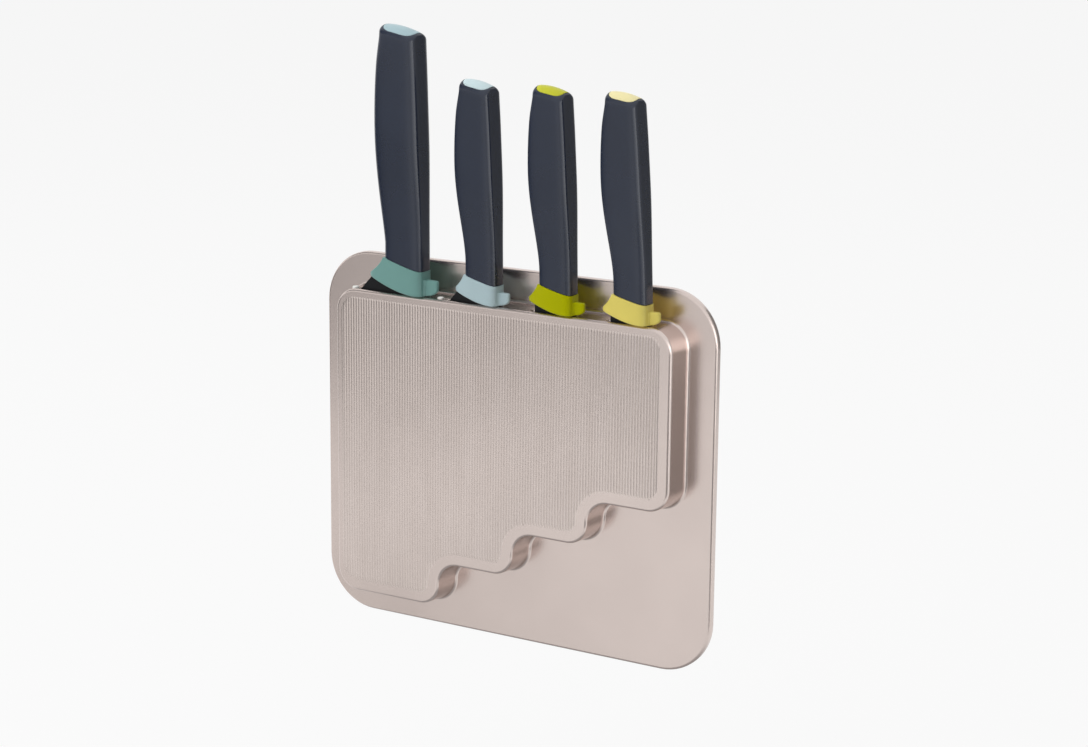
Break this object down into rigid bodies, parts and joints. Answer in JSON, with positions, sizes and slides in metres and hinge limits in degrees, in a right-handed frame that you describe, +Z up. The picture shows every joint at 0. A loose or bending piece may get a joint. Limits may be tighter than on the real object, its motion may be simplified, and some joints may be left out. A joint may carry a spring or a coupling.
{
  "type": "knife block with knives",
  "caption": "Slim wall-mounted knife holder: a rounded back plate carries a shallow stepped case, and dark-handled knives with coloured tool rests lift out of slots in its top.",
  "frame": {"origin": "middle of the rear mounting face, on the back of the middle adhesive strip", "axes": "+Z up, +X to the right seen from the front, +Y towards the wall, so the front faces -Y"},
  "size_m": [0.25, 0.0267, 0.3398],
  "materials": {
    "metallic_case": "satin metallic lacquer, warm nickel",
    "guide_plastic": "moulded, off-white",
    "screw_steel": "zinc plated",
    "adhesive": "self-adhesive foam with release liner",
    "coated_blade": "dark non-stick coating on steel",
    "grip": "soft-touch, fine matt",
    "weight_steel": "plain bar",
    "chef_rest": "satin, grey teal",
    "santoku_rest": "satin, pale aqua",
    "utility_rest": "satin, lime",
    "paring_rest": "satin, pale yellow",
    "chef_cap": "satin, grey teal",
    "santoku_cap": "satin, pale aqua",
    "utility_cap": "satin, lime",
    "paring_cap": "satin, pale yellow"
  },
  "bodies": {
    "holder": {"back_plate": "metallic_case", "case_front": "metallic_case", "blade_guide": "guide_plastic", "case_screws": "screw_steel", "top_strip": "adhesive", "middle_strip": "adhesive", "bottom_strip": "adhesive"},
    "chef_knife": {"chef_blade": "coated_blade", "chef_tool_rest": "chef_rest", "chef_handle": "grip", "chef_weight": "weight_steel", "chef_end_cap": "chef_cap"},
    "santoku_knife": {"santoku_blade": "coated_blade", "santoku_tool_rest": "santoku_rest", "santoku_handle": "grip", "santoku_weight": "weight_steel", "santoku_end_cap": "santoku_cap"},
    "utility_knife": {"utility_blade": "coated_blade", "utility_tool_rest": "utility_rest", "utility_handle": "grip", "utility_weight": "weight_steel", "utility_end_cap": "utility_cap"},
    "paring_knife": {"paring_blade": "coated_blade", "paring_tool_rest": "paring_rest", "paring_handle": "grip", "paring_weight": "weight_steel", "paring_end_cap": "paring_cap"}
  },
  "joints": [
    {"name": "chef_lift", "type": "slide", "parent": "holder", "child": "chef_knife", "axis": [0, 0, 1], "range_m": [0, 0.18]},
    {"name": "santoku_lift", "type": "slide", "parent": "holder", "child": "santoku_knife", "axis": [-0.0087, 0, 1], "range_m": [0, 0.155]},
    {"name": "utility_lift", "type": "slide", "parent": "holder", "child": "utility_knife", "axis": [-0.0175, 0, 0.9998], "range_m": [0, 0.13]},
    {"name": "paring_lift", "type": "slide", "parent": "holder", "child": "paring_knife", "axis": [-0.0349, 0, 0.9994], "range_m": [0, 0.105]}
  ]
}
